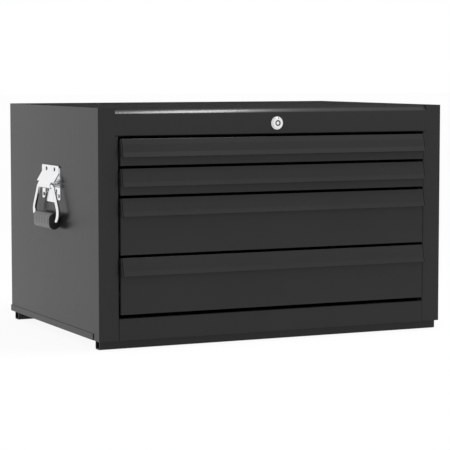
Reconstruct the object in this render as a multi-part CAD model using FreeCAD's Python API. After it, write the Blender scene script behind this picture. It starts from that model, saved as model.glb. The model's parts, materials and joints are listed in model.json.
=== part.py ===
import FreeCAD, Part
import math
import os

# A machinist tool chest: a folded sheet-steel case on two skids, four drawers on
# telescoping rails, a bail handle on each side, and a key lock whose crank lifts a
# bar behind the drawers. Millimetres. The front faces -Y, +X is to the right and Z is up.
# The origin is on the floor, under the middle of the whole chest.

# Case: folded sheet, seen from the front as stiles, a header and a bottom rail
case_width = 686.0
case_depth = 476.0
case_sheet = 1.2
case_fold = 1.0
stile_width = 37.4
stile_return = 14.0
side_flange = 14.0
corner_post_width = 31.0
header_face_height = 38.8
header_fold_depth = 14.0
header_lip = 8.0
crown_height = 10.4
crown_depth = 21.0
crown_lap = 5.0
bottom_rail_height = 39.1
bottom_flange = 11.5
bottom_flange_inset = 29.0
back_flange = 14.0

# Skids under the case
skid_height = 15.5
skid_width = 20.0
skid_recess = 9.4
skid_end_inset = 4.0
skid_sheet = 2.0
skid_fold = 1.0
skid_rivet_radius = 2.4
skid_rivet_head_radius = 3.8
skid_rivet_head = 0.9
skid_rivet_inset = 40.0
skid_rivets_each = 5

# Drawers: how they sit in the opening
drawer_gap = 4.5
bottom_gap = 6.5
side_gap = 2.0
pull_side_gap = 0.8
front_proud = 4.0
shallow_front = 47.0
deep_front = 99.6
drawer_fronts = [shallow_front, shallow_front, deep_front, deep_front]

# Drawer front and its full-width pull
front_sheet = 1.2
front_return = 14.0
front_corner = 1.8
pull_sheet = 1.2
pull_flange = 9.0
pull_fold = 0.8
pull_brow_height = 9.5
pull_brow_reach = 4.5
pull_band_height = 13.5
pull_band_reach = 5.5
pull_lip_height = 7.5
pull_reach = 10.5
pull_cheek = 1.2
pull_cheek_gap = 0.4

# Drawer pan, its mat and the catch on its back
pan_sheet = 1.0
pan_fold = 1.0
pan_drop = 6.0
pan_flange = 6.0
mat_thickness = 2.0
mat_clearance = 0.5
catch_width = 14.0
catch_lip_spare = 2.3
catch_clearance = 1.0
catch_height_share = 0.6

# Telescoping rails: a case rail, a middle rail and a drawer rail nest in each other
rail_height = 35.0
rail_depth = 12.7
rail_sheet = 1.2
rail_fold = 0.3
rail_lip = 3.0
rail_running_gap = 0.3
rail_case_depth = 9.0
rail_middle_lip = 4.0
rail_leg_gap = 0.6
rail_jamb_gap = 0.6
rail_front_gap = 1.0
rail_centre_height = 24.0

# Uprights that carry the case rails
upright_width = 38.0
upright_sheet = 1.5
upright_fold = 1.0
upright_foot = 12.0
upright_jamb_gap = 1.0

# Key lock in the header
lock_flange_radius = 11.7
lock_flange_depth = 1.2
lock_head_radius = 10.0
lock_face_depth = 5.0
lock_face_round = 0.8
lock_barrel_radius = 9.5
lock_barrel_length = 20.0
lock_bore_radius = 5.2
lock_fit = 0.05
lock_hole_gap = 0.1
lock_post_radius = 3.0
lock_post_recess = 0.4
lock_key_depth = 5.5
lock_notch_width = 2.6
lock_notch_depth = 2.2
lock_pin_radius = 0.5
lock_pin_depth = 1.5
lock_pins = 7
lock_plug_tail = 4.0
lock_nut_flats = 25.0
lock_nut_height = 4.0
lock_nut_sides = 6

# Lock rod, crank and bar
rod_radius = 3.0
rod_socket = 8.0
crank_radius = 9.0
crank_turn = 90.0
crank_thickness = 4.0
crank_hub_radius = 6.0
crank_pin_radius = 2.0
crank_pin_wall = 2.0
crank_gap = 1.0
bar_space = 45.0
bar_standoff = 20.0
bar_thickness = 2.5
bar_width = 32.0
bar_margin = 8.0
bar_tail = 34.0
bar_slot_gap = 0.5
window_gap = 2.0
window_edge_gap = 1.5
guide_height = 14.0
guide_wall = 7.0
guide_cover = 4.0
guide_gap = 0.3
guide_below_window = 9.0
bracket_sheet = 2.0
bracket_width = 28.0
bracket_foot = 16.0
bracket_gap = 2.0
bracket_drop = 10.0

# Side handles: back plate, sloping bracket with a rolled barrel, bail and grip
handle_below_top = 146.0
handle_place_share = 0.5
back_plate_sheet = 1.2
back_plate_top = 33.0
back_plate_corner = 2.0
tongue_drop = 30.7
foot_width = 16.0
foot_drop = 25.2
foot_edge = 7.5
notch_width = 6.5
notch_drop = 6.0
bracket_plate_sheet = 1.6
bracket_plate_width = 91.0
bracket_plate_top = 37.0
bracket_bend_height = 24.2
bracket_plate_corner = 5.0
ear_corner = 2.5
ear_drop = 7.0
barrel_length = 64.0
bail_rod_radius = 3.5
bail_fit = 0.1
bail_standoff = 11.2
bail_top_half = 38.0
bail_shoulder = 7.0
bail_knee_half = 61.0
bail_knee_drop = 37.7
bail_foot_radius = 17.0
bail_end_gap = 2.0
grip_half_length = 46.0
grip_thickness = 21.0
grip_height = 30.0
grip_round = 3.0
handle_rivet_radius = 2.0
handle_rivet_head_radius = 3.6
handle_rivet_head = 1.8
handle_rivet_spacing = 42.5
handle_rivet_height = 30.0
foot_rivet_spacing = 80.0
foot_rivet_drop = 18.0

# Clearance of a rivet in its holes, and an overrun that takes every cut past the face
# that it leaves through
rivet_hole_gap = 0.1
overrun = 1.0

# Places worked out from the sizes
half_width = case_width / 2
wall_x = half_width - case_sheet
jamb_x = half_width - stile_width
post_x = half_width - corner_post_width
front_reach = front_proud + pull_reach
overall_depth = front_reach + case_depth + case_sheet
frame_y = front_reach - overall_depth / 2
back_y = frame_y + case_depth
back_inner_y = back_y - 2 * case_sheet
face_y = frame_y - front_proud
flange_x = half_width + case_sheet
flange_start_y = frame_y + bottom_flange_inset
case_bottom_z = skid_height
opening_bottom_z = case_bottom_z + bottom_rail_height
stack_height = sum(drawer_fronts) + drawer_gap * len(drawer_fronts)
opening_top_z = opening_bottom_z + bottom_gap + stack_height
crease_z = opening_top_z + header_face_height
case_top_z = crease_z + crown_height
crown_radius = (crown_depth ** 2 + crown_height ** 2) / (2 * crown_height)
front_half = jamb_x - side_gap
pull_half = jamb_x - pull_side_gap
rail_face_x = jamb_x - rail_jamb_gap
pan_half = rail_face_x - rail_depth
pan_front_y = face_y + front_corner
pan_rear_y = back_inner_y - bar_space
rail_start_y = face_y + front_return + rail_front_gap
rail_length = pan_rear_y - rail_start_y
lock_z = opening_top_z + header_face_height / 2
lock_face_y = frame_y - lock_face_depth
plug_rear_y = frame_y + lock_barrel_length + lock_plug_tail
bar_rear_y = back_inner_y - bar_standoff
bar_front_y = bar_rear_y - bar_thickness
crank_rear_y = bar_front_y - crank_gap
crank_front_y = crank_rear_y - crank_thickness
half_turn = math.radians(crank_turn / 2)
bar_lift = 2 * crank_radius * math.sin(half_turn)
catch_lip = bar_lift + catch_lip_spare
pin_x = -crank_radius * math.cos(half_turn)
pin_z = lock_z - crank_radius * math.sin(half_turn)
bar_x = (pin_x - crank_radius) / 2
handle_y = frame_y + case_depth * handle_place_share
handle_z = case_top_z - handle_below_top
barrel_radius = bail_rod_radius + bail_fit + bracket_plate_sheet
back_plate_half_width = foot_rivet_spacing / 2 + foot_edge
tongue_half_width = back_plate_half_width - foot_width - notch_width


# Folds, plates and other shapes that many pieces share

def box(x_low, x_high, y_low, y_high, z_low, z_high):
    """A block between two corners."""
    size = (x_high - x_low, y_high - y_low, z_high - z_low)
    return Part.makeBox(*size, FreeCAD.Vector(x_low, y_low, z_low))


def bar_between(start, end, radius):
    """A round bar from one point to another."""
    path = end - start
    return Part.makeCylinder(radius, path.Length, start, path)


def on_plane(point, along, level):
    """A point of a section, put in space: the section is square to one axis."""
    u, v = point
    if along == "x":
        return FreeCAD.Vector(level, u, v)
    if along == "y":
        return FreeCAD.Vector(u, level, v)
    return FreeCAD.Vector(u, v, level)


def joined(pieces):
    """One clean solid from pieces that touch or overlap."""
    return pieces[0].multiFuse(pieces[1:]).removeSplitter()


def mirrored(shape):
    """The same piece on the other side of the chest."""
    return shape.mirror(FreeCAD.Vector(), FreeCAD.Vector(1, 0, 0))


def rounded_chain(points, radii, along, level):
    """Straight edges through the points, with an arc at each corner that has a radius."""
    edges = []
    pen = on_plane(points[0], along, level)
    for before, corner, after, radius in zip(points, points[1:], points[2:], radii):
        here = on_plane(corner, along, level)
        back = (on_plane(before, along, level) - here).normalize()
        ahead = (on_plane(after, along, level) - here).normalize()
        if radius == 0:
            edges.append(Part.makeLine(pen, here))
            pen = here
            continue
        half_corner = back.getAngle(ahead) / 2
        bisector = (back + ahead).normalize()
        start = here + back * (radius / math.tan(half_corner))
        end = here + ahead * (radius / math.tan(half_corner))
        middle = here + bisector * (radius / math.sin(half_corner) - radius)
        if (start - pen).Length > Part.Precision.confusion():
            edges.append(Part.makeLine(pen, start))
        edges.append(Part.Arc(start, middle, end).toShape())
        pen = end
    edges.append(Part.makeLine(pen, on_plane(points[-1], along, level)))
    return edges


def prism(edges, along, low, high):
    """A solid from the edges of a flat outline at level low, drawn out to level high."""
    face = Part.Face(Part.Wire(Part.__sortEdges__(edges)))
    return face.extrude(on_plane((0, 0), along, high - low))


def plate(points, radii, along, low, high):
    """A flat plate with a closed outline, each corner rounded by its own radius."""
    loop = [points[-1]] + points + [points[0]]
    middle = ((points[-1][0] + points[0][0]) / 2, (points[-1][1] + points[0][1]) / 2)
    loop[0] = middle
    loop[-1] = middle
    return prism(rounded_chain(loop, radii, along, low), along, low, high)


def folded(points, hand, thickness, bend, along, low, high):
    """A folded strip. Its first face runs through the points and its thickness lies to
    the left of them for hand 1, to the right for hand -1; bend is its inside radius."""
    normals = []
    for (u0, v0), (u1, v1) in zip(points, points[1:]):
        run = math.hypot(u1 - u0, v1 - v0)
        normals.append((-(v1 - v0) / run * hand, (u1 - u0) / run * hand))
    other = []
    first_radii = []
    other_radii = []
    for index, (u, v) in enumerate(points):
        before = normals[max(index - 1, 0)]
        after = normals[min(index, len(normals) - 1)]
        share = thickness / (1 + before[0] * after[0] + before[1] * after[1])
        other.append((u + (before[0] + after[0]) * share, v + (before[1] + after[1]) * share))
        if 0 < index < len(points) - 1:
            inward = (before[0] * after[1] - before[1] * after[0]) * hand > 0
            first_radii.append(bend + thickness if inward else bend)
            other_radii.append(bend if inward else bend + thickness)
    edges = rounded_chain(points, first_radii, along, low)
    edges += rounded_chain(other, other_radii, along, low)
    for a, b in ((points[0], other[0]), (points[-1], other[-1])):
        edges.append(Part.makeLine(on_plane(a, along, low), on_plane(b, along, low)))
    return prism(edges, along, low, high)


def tray(x_half, y_low, y_high, z_low, z_high, thickness, corner):
    """A shallow tray that opens to +Y, with rounded edges round its front face."""
    shells = []
    for inset, radius in ((0, corner), (thickness, corner - thickness)):
        block = box(-x_half + inset, x_half - inset, y_low + inset, y_high + inset,
                    z_low + inset, z_high - inset)
        front_edges = [e for e in block.Edges if e.BoundBox.YMax < y_low + inset + thickness]
        shells.append(block.makeFillet(radius, front_edges))
    return shells[0].cut(shells[1])


def rivet(start, end, radius, head_radius, head):
    """A rivet through what lies between two points, with a low head at each end."""
    out = (end - start).normalize()
    shank = bar_between(start, end, radius)
    near = Part.makeCone(head_radius, head_radius - head / 2, head, start, -out)
    far = Part.makeCone(head_radius, head_radius - head / 2, head, end, out)
    return joined([shank, near, far])


def save(name, *solids):
    """Write one node; alike pieces share a node as separate solids."""
    shape = solids[0] if len(solids) == 1 else Part.makeCompound(list(solids))
    shape.exportStep("parts/" + name + ".step")


# Case

def skid_rivet_places():
    """Middles of the rivets through a skid flange, across the chest."""
    reach = half_width - skid_rivet_inset
    steps = skid_rivets_each - 1
    return [-reach + 2 * reach * i / steps for i in range(skid_rivets_each)]


def skid_rows():
    """Front face of each skid."""
    return [frame_y + skid_recess, back_y - skid_recess - skid_width]


def side_panel():
    """Left side: one sheet folded into the stile at the front and a flange at the back."""
    section = [(-half_width + side_flange, back_y), (-half_width, back_y),
               (-half_width, frame_y), (-jamb_x, frame_y), (-jamb_x, frame_y + stile_return)]
    sheet = folded(section, 1, case_sheet, case_fold, "z", case_bottom_z, case_top_z)
    above_opening = box(-post_x, -jamb_x + overrun, frame_y - overrun,
                        frame_y + stile_return + overrun, opening_top_z, case_top_z + overrun)
    return_above = box(-jamb_x - case_sheet - case_fold - case_sheet, -jamb_x + overrun,
                       frame_y + case_sheet, frame_y + stile_return + overrun,
                       opening_top_z, case_top_z + overrun)
    floor_seat = box(-wall_x, 0, frame_y + case_sheet, back_y + overrun,
                     case_bottom_z - overrun, case_bottom_z + case_sheet)
    flange_seat = box(-flange_x, 0, flange_start_y, back_y + overrun,
                      case_bottom_z - overrun, case_bottom_z + case_sheet)
    roof_seat = box(-wall_x, 0, frame_y + case_sheet, back_y - case_sheet,
                    case_top_z - case_sheet, case_top_z + overrun)
    for gap in (above_opening, return_above, floor_seat, flange_seat, roof_seat):
        sheet = sheet.cut(gap)
    post_wall = box(-post_x - case_sheet, -post_x, frame_y, frame_y + crown_depth + case_sheet,
                    opening_top_z, case_top_z - case_sheet)
    ledge_end_y = back_inner_y + case_sheet - back_flange - overrun
    ledges = [box(-half_width + case_sheet / 2, -half_width + side_flange,
                  frame_y + stile_return, ledge_end_y, z, z + case_sheet)
              for z in (case_bottom_z + case_sheet, case_top_z - 2 * case_sheet)]
    panel = joined([sheet, post_wall] + ledges)
    for y, z in handle_rivet_holes():
        start = FreeCAD.Vector(-half_width - overrun, y, z)
        end = FreeCAD.Vector(-wall_x + overrun, y, z)
        panel = panel.cut(bar_between(start, end, handle_rivet_radius + rivet_hole_gap))
    return panel


def top_panel():
    """Roof sheet, with a rolled front edge between the two corner posts."""
    roof = box(-wall_x, wall_x, frame_y + crown_depth, back_y - case_sheet,
               case_top_z - case_sheet, case_top_z)
    tongues = [box(low, high, frame_y + case_sheet, frame_y + crown_depth,
                   case_top_z - case_sheet, case_top_z)
               for low, high in ((-wall_x, -post_x), (post_x, wall_x))]
    centre = (frame_y + crown_depth, case_top_z - crown_radius)
    start = on_plane(centre, "x", -post_x)
    end = on_plane(centre, "x", post_x)
    roll = bar_between(start, end, crown_radius)
    roll = roll.cut(bar_between(start, end, crown_radius - case_sheet))
    roll = roll.common(box(-post_x, post_x, frame_y, frame_y + crown_depth,
                           crease_z - case_sheet, case_top_z))
    roll = roll.cut(box(-post_x, post_x, frame_y, frame_y + case_sheet,
                        crease_z - case_sheet, crease_z))
    lap = box(-post_x, post_x, frame_y + case_sheet, frame_y + 2 * case_sheet,
              crease_z - crown_lap, crease_z)
    return joined([roof, roll, lap] + tongues)


def header_rail():
    """Rail above the drawers, folded back under itself, with the hole for the lock."""
    section = [(frame_y, crease_z), (frame_y, opening_top_z),
               (frame_y + header_fold_depth, opening_top_z),
               (frame_y + header_fold_depth, opening_top_z + header_lip)]
    rail = folded(section, 1, case_sheet, case_fold, "x", -post_x, post_x)
    hole = bar_between(FreeCAD.Vector(0, frame_y - overrun, lock_z),
                       FreeCAD.Vector(0, frame_y + case_sheet + overrun, lock_z),
                       lock_barrel_radius + lock_hole_gap)
    return rail.cut(hole)


def bottom_rail():
    """Rail under the drawers, folded back at its top edge."""
    section = [(frame_y + header_fold_depth, opening_bottom_z - header_lip),
               (frame_y + header_fold_depth, opening_bottom_z),
               (frame_y, opening_bottom_z), (frame_y, case_bottom_z)]
    return folded(section, 1, case_sheet, case_fold, "x", -jamb_x, jamb_x)


def back_panel():
    """Back sheet, with a flange under the roof and one on the floor."""
    outer_y = back_y - case_sheet
    section = [(outer_y - back_flange, case_top_z - case_sheet),
               (outer_y, case_top_z - case_sheet), (outer_y, case_bottom_z + case_sheet),
               (outer_y - back_flange, case_bottom_z + case_sheet)]
    reach = wall_x - case_sheet
    return folded(section, -1, case_sheet, case_fold, "x", -reach, reach)


def bottom_panel():
    """Floor sheet: a flange behind the bottom rail, and one turned up outside the back
    and the sides."""
    floor = box(-wall_x, wall_x, frame_y + case_sheet, back_y + case_sheet,
                case_bottom_z, case_bottom_z + case_sheet)
    front = box(-jamb_x, jamb_x, frame_y + case_sheet, frame_y + 2 * case_sheet,
                case_bottom_z, case_bottom_z + bottom_flange)
    outer = box(-flange_x, flange_x, flange_start_y, back_y + case_sheet,
                case_bottom_z, case_bottom_z + bottom_flange)
    hollow = box(-half_width, half_width, flange_start_y - overrun, back_y,
                 case_bottom_z + case_sheet, case_bottom_z + bottom_flange + overrun)
    panel = joined([floor, front, outer.cut(hollow)])
    for y in skid_rows():
        for x in skid_rivet_places():
            place = FreeCAD.Vector(x, y + skid_width / 2, case_bottom_z - overrun)
            panel = panel.cut(Part.makeCylinder(skid_rivet_radius + rivet_hole_gap,
                                                case_sheet + 2 * overrun, place))
    return panel


def skid(y):
    """A channel across the chest: its web stands on the floor, its top carries the case."""
    section = [(y, skid_height), (y, 0), (y + skid_width, 0), (y + skid_width, skid_height)]
    reach = half_width - skid_end_inset
    legs = folded(section, 1, skid_sheet, skid_fold, "x", -reach, reach)
    land = box(-reach, reach, y + skid_sheet / 2, y + skid_width - skid_sheet / 2,
               skid_height - skid_sheet, skid_height)
    channel = joined([legs, land])
    for x in skid_rivet_places():
        place = FreeCAD.Vector(x, y + skid_width / 2, skid_height - skid_sheet - overrun)
        channel = channel.cut(Part.makeCylinder(skid_rivet_radius + rivet_hole_gap,
                                                skid_sheet + 2 * overrun, place))
    return channel


def skid_rivets():
    """Rivets through the top of each skid and the floor of the case."""
    rivets = []
    for y in skid_rows():
        for x in skid_rivet_places():
            low = FreeCAD.Vector(x, y + skid_width / 2, skid_height - skid_sheet)
            high = FreeCAD.Vector(x, y + skid_width / 2, case_bottom_z + case_sheet)
            rivets.append(rivet(low, high, skid_rivet_radius,
                                skid_rivet_head_radius, skid_rivet_head))
    return rivets


def left_uprights():
    """Two hat-shaped posts on the left wall, as high as the opening, that carry the ends
    of the case rails."""
    web_x = -rail_face_x - upright_sheet
    rail_end_y = rail_start_y + rail_length
    fronts = (frame_y + stile_return + upright_jamb_gap + upright_sheet,
              rail_end_y - upright_width)
    posts = []
    for y in fronts:
        far_y = y + upright_width
        section = [(-wall_x, y - upright_foot), (-wall_x, y), (web_x, y),
                   (web_x, far_y), (-wall_x, far_y), (-wall_x, far_y + upright_foot)]
        posts.append(folded(section, -1, upright_sheet, upright_fold, "z",
                            case_bottom_z + 2 * case_sheet, opening_top_z))
    return posts


# Drawers

def drawer_levels():
    """Bottom and top of each drawer front, from the top drawer down."""
    levels = []
    top = opening_top_z
    for height in drawer_fronts:
        top -= drawer_gap
        levels.append((top - height, top))
        top -= height
    return levels


def drawer_front(bottom, top):
    """Front sheet with all four edges turned back."""
    return tray(front_half, face_y, face_y + front_return, bottom, top - pull_sheet,
                front_sheet, front_corner)


def drawer_pull(top):
    """Full-width pull: over the top edge, then brow, band and lip, with a cheek at each end."""
    brow_z = top - pull_brow_height
    band_z = brow_z - pull_band_height
    lip_z = band_z - pull_lip_height
    outline = [(face_y - pull_sheet, top), (face_y - pull_brow_reach, brow_z),
               (face_y - pull_band_reach, band_z), (face_y - pull_reach, lip_z)]
    strip = folded([(face_y + pull_flange, top)] + outline, 1, pull_sheet, pull_fold,
                   "x", -pull_half, pull_half)
    cheek_y = face_y - pull_cheek_gap
    cheek = outline + [(cheek_y, lip_z), (cheek_y, top)]
    bent = pull_fold + pull_sheet
    radii = [bent, bent, pull_fold, 0, 0, 0]
    cheeks = [plate(cheek, radii, "x", low, low + pull_cheek)
              for low in (-pull_half, pull_half - pull_cheek)]
    return joined([strip] + cheeks)


def drawer_pan(bottom, top):
    """Folded pan with a front and a back wall, and the catch that the lock bar holds."""
    low = bottom + front_sheet
    high = top - pan_drop
    section = [(-pan_half + pan_flange, high), (-pan_half, high), (-pan_half, low),
               (pan_half, low), (pan_half, high), (pan_half - pan_flange, high)]
    walls = folded(section, 1, pan_sheet, pan_fold, "y", pan_front_y, pan_rear_y)
    inner = pan_half - pan_sheet
    ends = [box(-inner, inner, y, y + pan_sheet, low + pan_sheet / 2, high - pan_sheet / 2)
            for y in (pan_front_y, pan_rear_y - pan_sheet)]
    catch_z = catch_height(bottom, top)
    lip_y = bar_rear_y + catch_clearance
    catch = [box(bar_x - catch_width / 2, bar_x + catch_width / 2, pan_rear_y - pan_sheet / 2,
                 lip_y + pan_sheet, catch_z - pan_sheet, catch_z),
             box(bar_x - catch_width / 2, bar_x + catch_width / 2, lip_y, lip_y + pan_sheet,
                 catch_z - catch_lip, catch_z)]
    return joined([walls] + ends + catch)


def catch_height(bottom, top):
    """Top face of a drawer's catch."""
    return bottom + (top - bottom) * catch_height_share


def drawer_mat(bottom):
    """Mat on the floor of the pan."""
    low = bottom + front_sheet + pan_sheet
    reach = pan_half - pan_sheet - pan_fold
    return box(-reach, reach, pan_front_y + pan_sheet + mat_clearance,
               pan_rear_y - pan_sheet - mat_clearance, low, low + mat_thickness)


def rail_channel(low_depth, high_depth, half_height, lip, z):
    """Right-hand rail: a channel that opens inwards, its depth measured from the upright."""
    back = rail_face_x - low_depth
    mouth = rail_face_x - high_depth
    section = [(mouth, z + half_height - lip), (mouth, z + half_height),
               (back, z + half_height), (back, z - half_height),
               (mouth, z - half_height), (mouth, z - half_height + lip)]
    return folded(section, -1, rail_sheet, rail_fold, "y",
                  rail_start_y, rail_start_y + rail_length)


def rail_set(bottom):
    """Right-hand case, middle and drawer rails of one drawer, nested with a running gap."""
    z = bottom + rail_centre_height
    step = rail_sheet + rail_running_gap
    half = rail_height / 2
    case_rail = rail_channel(0, rail_case_depth, half, rail_lip, z)
    middle_rail = rail_channel(step, rail_case_depth - step, half - step, rail_middle_lip, z)
    brim_half = half - 2 * step
    leg_half = half - step - rail_middle_lip - rail_leg_gap - rail_sheet
    near = rail_face_x - 2 * step
    turned = rail_face_x - rail_case_depth + 2 * step
    web = rail_face_x - rail_depth + rail_sheet
    upper = [(turned, z + brim_half), (near, z + brim_half), (near, z + leg_half),
             (web, z + leg_half)]
    lower = [(x, 2 * z - v) for x, v in reversed(upper)]
    drawer_rail = folded(upper + lower, -1, rail_sheet, rail_fold, "y",
                         rail_start_y, rail_start_y + rail_length)
    return case_rail, middle_rail, drawer_rail


# Lock

def lock_body():
    """Barrel with a flange on the header, a round head with a notch in its rim at the
    top, and a bore for the plug."""
    barrel = bar_between(FreeCAD.Vector(0, frame_y, lock_z),
                         FreeCAD.Vector(0, frame_y + lock_barrel_length, lock_z),
                         lock_barrel_radius)
    flange = bar_between(FreeCAD.Vector(0, frame_y - lock_flange_depth, lock_z),
                         FreeCAD.Vector(0, frame_y, lock_z), lock_flange_radius)
    head = bar_between(FreeCAD.Vector(0, lock_face_y, lock_z),
                       FreeCAD.Vector(0, frame_y, lock_z), lock_head_radius)
    front_edge = [e for e in head.Edges if e.BoundBox.YMax < frame_y - lock_face_depth / 2]
    head = head.makeFillet(lock_face_round, front_edge)
    bore = bar_between(FreeCAD.Vector(0, lock_face_y - overrun, lock_z),
                       FreeCAD.Vector(0, frame_y + lock_barrel_length + overrun, lock_z),
                       lock_bore_radius)
    notch = box(-lock_notch_width / 2, lock_notch_width / 2,
                lock_face_y - overrun, frame_y - lock_flange_depth,
                lock_z + lock_head_radius - lock_notch_depth, lock_z + lock_head_radius + overrun)
    return joined([barrel, flange, head.cut(notch)]).cut(bore)


def lock_plug():
    """Turning plug: a post for the key at the front, pins round it, a socket at the back."""
    floor_y = lock_face_y + lock_key_depth
    plug = bar_between(FreeCAD.Vector(0, floor_y, lock_z),
                       FreeCAD.Vector(0, plug_rear_y, lock_z), lock_bore_radius - lock_fit)
    post = bar_between(FreeCAD.Vector(0, lock_face_y + lock_post_recess, lock_z),
                       FreeCAD.Vector(0, floor_y + overrun, lock_z), lock_post_radius)
    socket = bar_between(FreeCAD.Vector(0, plug_rear_y - rod_socket, lock_z),
                         FreeCAD.Vector(0, plug_rear_y + overrun, lock_z), rod_radius)
    plug = joined([plug, post]).cut(socket)
    pin_circle = (lock_post_radius + lock_bore_radius) / 2
    for i in range(lock_pins):
        turn = 2 * math.pi * (i + 1 / 2) / lock_pins
        x = pin_circle * math.sin(turn)
        z = lock_z + pin_circle * math.cos(turn)
        plug = plug.cut(bar_between(FreeCAD.Vector(x, floor_y - overrun, z),
                                    FreeCAD.Vector(x, floor_y + lock_pin_depth, z),
                                    lock_pin_radius))
    return plug


def lock_nut():
    """Hexagon nut that clamps the lock behind the header."""
    near_y = frame_y + case_sheet
    turn = 2 * math.pi / lock_nut_sides
    corner = lock_nut_flats / 2 / math.cos(turn / 2)
    points = [(corner * math.cos(turn * i), lock_z + corner * math.sin(turn * i))
              for i in range(lock_nut_sides)]
    nut = plate(points, [0] * lock_nut_sides, "y", near_y, near_y + lock_nut_height)
    return nut.cut(bar_between(FreeCAD.Vector(0, near_y - overrun, lock_z),
                               FreeCAD.Vector(0, near_y + lock_nut_height + overrun, lock_z),
                               lock_barrel_radius))


def lock_rod():
    """Rod from the plug to the crank at the back."""
    return bar_between(FreeCAD.Vector(0, plug_rear_y - rod_socket, lock_z),
                       FreeCAD.Vector(0, crank_rear_y, lock_z), rod_radius)


def lock_crank():
    """Arm on the rod, with a pin that lifts the bar."""
    hub = FreeCAD.Vector(0, crank_front_y, lock_z)
    tip = FreeCAD.Vector(pin_x, crank_front_y, pin_z)
    deep = FreeCAD.Vector(0, crank_thickness, 0)
    tip_radius = crank_pin_radius + crank_pin_wall
    arm = (tip - hub).normalize()
    across = FreeCAD.Vector(-arm.z, 0, arm.x)
    corners = [hub + across * tip_radius, tip + across * tip_radius,
               tip - across * tip_radius, hub - across * tip_radius]
    web = Part.Face(Part.makePolygon(corners + [corners[0]])).extrude(deep)
    pin_end = FreeCAD.Vector(pin_x, bar_rear_y + overrun, pin_z)
    crank = joined([bar_between(hub, hub + deep, crank_hub_radius), web,
                    bar_between(tip, tip + deep, tip_radius),
                    bar_between(tip, pin_end, crank_pin_radius)])
    return crank.cut(bar_between(hub - deep, hub + deep * 2, rod_radius))


def lock_bar():
    """Bar behind the drawers: a slot for the crank pin, and a window for each catch."""
    slot_half = crank_pin_radius + bar_slot_gap
    low_catch = catch_height(*drawer_levels()[-1])
    strip = box(bar_x - bar_width / 2, bar_x + bar_width / 2, bar_front_y, bar_rear_y,
                low_catch - catch_lip - bar_tail, pin_z + slot_half + bar_margin)
    cuts = [box(-crank_radius - slot_half, pin_x + slot_half, bar_front_y - overrun,
                bar_rear_y + overrun, pin_z - slot_half, pin_z + slot_half)]
    for bottom, top in drawer_levels():
        catch_z = catch_height(bottom, top)
        cuts.append(box(bar_x - catch_width / 2 - window_gap, bar_x + catch_width / 2 + window_gap,
                        bar_front_y - overrun, bar_rear_y + overrun,
                        catch_z - catch_lip - window_edge_gap, catch_z + window_edge_gap))
    return strip.cut(Part.makeCompound(cuts))


def lock_bar_guides():
    """Two blocks on the back panel in which the bar slides."""
    levels = drawer_levels()
    upper_z = (catch_height(*levels[0]) + pin_z) / 2
    lower_z = catch_height(*levels[-1]) - catch_lip - guide_below_window - guide_height / 2
    guides = []
    for z in (upper_z, lower_z):
        low_z = z - guide_height / 2
        block = box(bar_x - bar_width / 2 - guide_wall, bar_x + bar_width / 2 + guide_wall,
                    bar_front_y - guide_gap - guide_cover, back_inner_y,
                    low_z, low_z + guide_height)
        slot = box(bar_x - bar_width / 2 - guide_gap, bar_x + bar_width / 2 + guide_gap,
                   bar_front_y - guide_gap, bar_rear_y + guide_gap,
                   low_z - overrun, low_z + guide_height + overrun)
        guides.append(block.cut(slot))
    return guides


def lock_rod_bracket():
    """Bracket under the roof that carries the back end of the rod."""
    plate_y = crank_front_y - bracket_gap
    roof_z = case_top_z - case_sheet
    section = [(plate_y - bracket_foot, roof_z), (plate_y, roof_z),
               (plate_y, lock_z - bracket_drop)]
    bracket = folded(section, -1, bracket_sheet, case_fold, "x",
                     -bracket_width / 2, bracket_width / 2)
    return bracket.cut(bar_between(FreeCAD.Vector(0, plate_y - bracket_sheet - overrun, lock_z),
                                   FreeCAD.Vector(0, plate_y + overrun, lock_z),
                                   rod_radius + lock_fit))


# Side handles, built on the left wall

def handle_rivet_holes():
    """Places of the four rivets of a handle, as Y and Z."""
    top_z = handle_z + handle_rivet_height
    foot_z = handle_z - foot_rivet_drop
    return [(handle_y - handle_rivet_spacing / 2, top_z),
            (handle_y + handle_rivet_spacing / 2, top_z),
            (handle_y - foot_rivet_spacing / 2, foot_z),
            (handle_y + foot_rivet_spacing / 2, foot_z)]


def handle_back_plate():
    """Plate between the bail and the paint: a tongue in the middle and a foot each side."""
    right_half = [(tongue_half_width, -tongue_drop), (tongue_half_width, -notch_drop),
                  (back_plate_half_width - foot_width, -notch_drop),
                  (back_plate_half_width - foot_width, -foot_drop),
                  (back_plate_half_width, -foot_drop),
                  (back_plate_half_width, back_plate_top)]
    left_half = [(-u, v) for u, v in reversed(right_half)]
    outline = [(handle_y + u, handle_z + v) for u, v in right_half + left_half]
    radii = [back_plate_corner] * len(outline)
    body = plate(outline, radii, "x", -half_width - back_plate_sheet, -half_width)
    return with_rivet_holes(body, handle_rivet_holes())


def with_rivet_holes(body, places):
    """A handle piece with holes for its rivets."""
    for y, z in places:
        start = FreeCAD.Vector(-half_width - bail_standoff, y, z)
        end = FreeCAD.Vector(-wall_x, y, z)
        body = body.cut(bar_between(start, end, handle_rivet_radius + rivet_hole_gap))
    return body


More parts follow.
